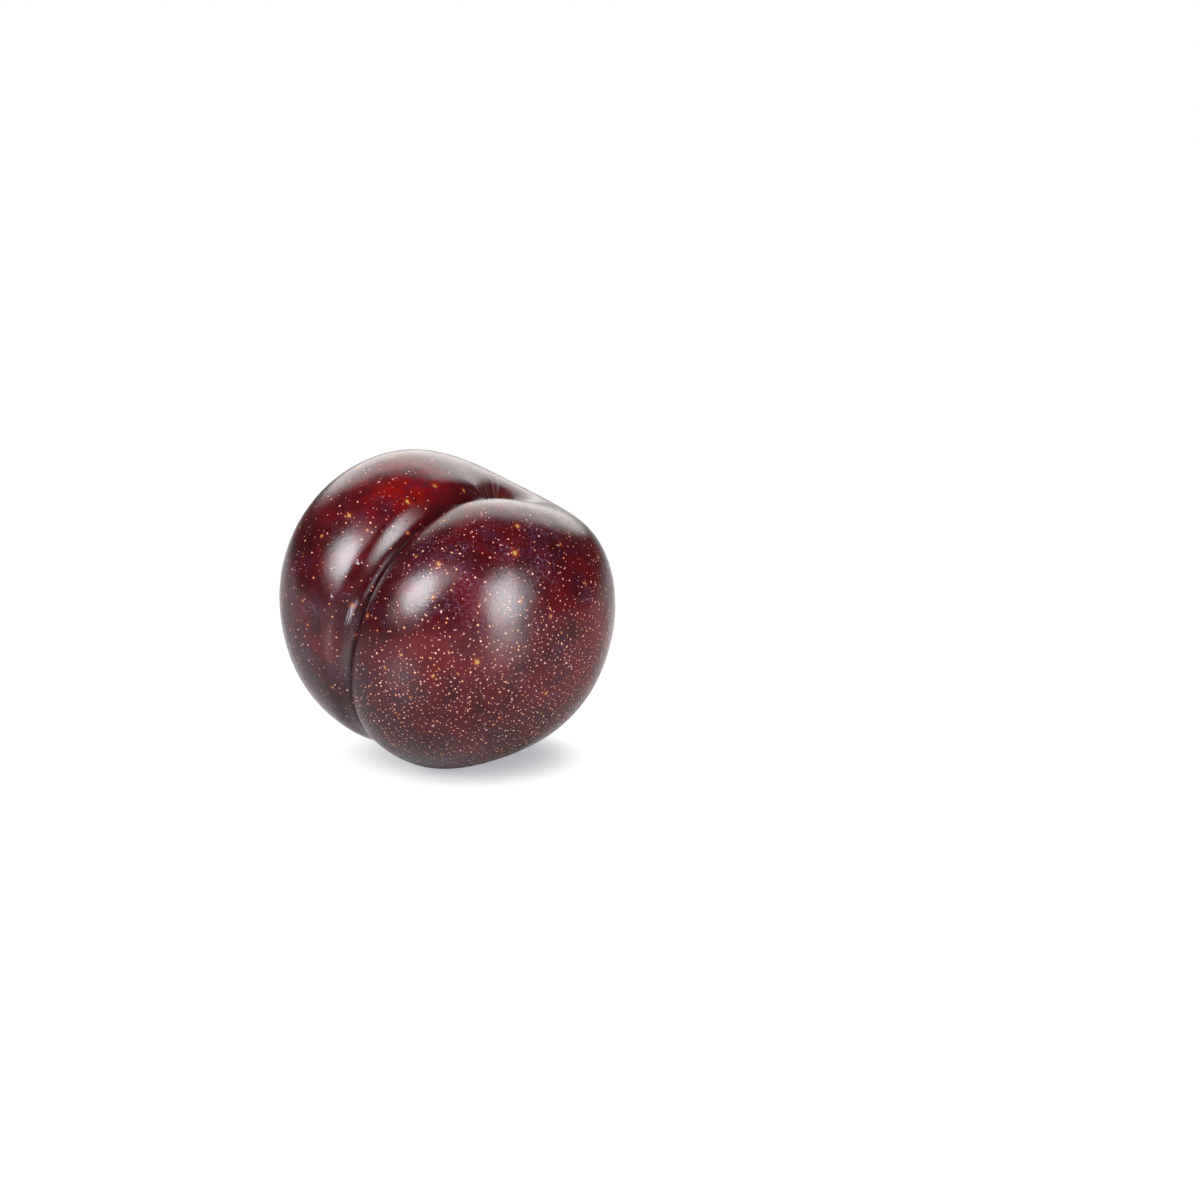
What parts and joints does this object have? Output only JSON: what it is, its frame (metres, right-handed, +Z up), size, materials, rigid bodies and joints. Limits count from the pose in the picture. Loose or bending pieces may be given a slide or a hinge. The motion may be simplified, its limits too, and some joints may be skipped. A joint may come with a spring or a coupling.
{
  "type": "plum",
  "caption": "Whole round plum with a deep suture groove and a hollow stem end, lying on a small flat spot.",
  "frame": {"origin": "centre of the plum's box, on the surface that it rests on", "axes": "+Z up; -Y towards the viewer of the near cheek, with the suture groove facing -X and -Y and the stem end facing +Z and +X"},
  "size_m": [0.0606, 0.0598, 0.0559],
  "materials": {
    "skin": "satin"
  },
  "bodies": {
    "root": {"plum": "skin"}
  },
  "joints": []
}
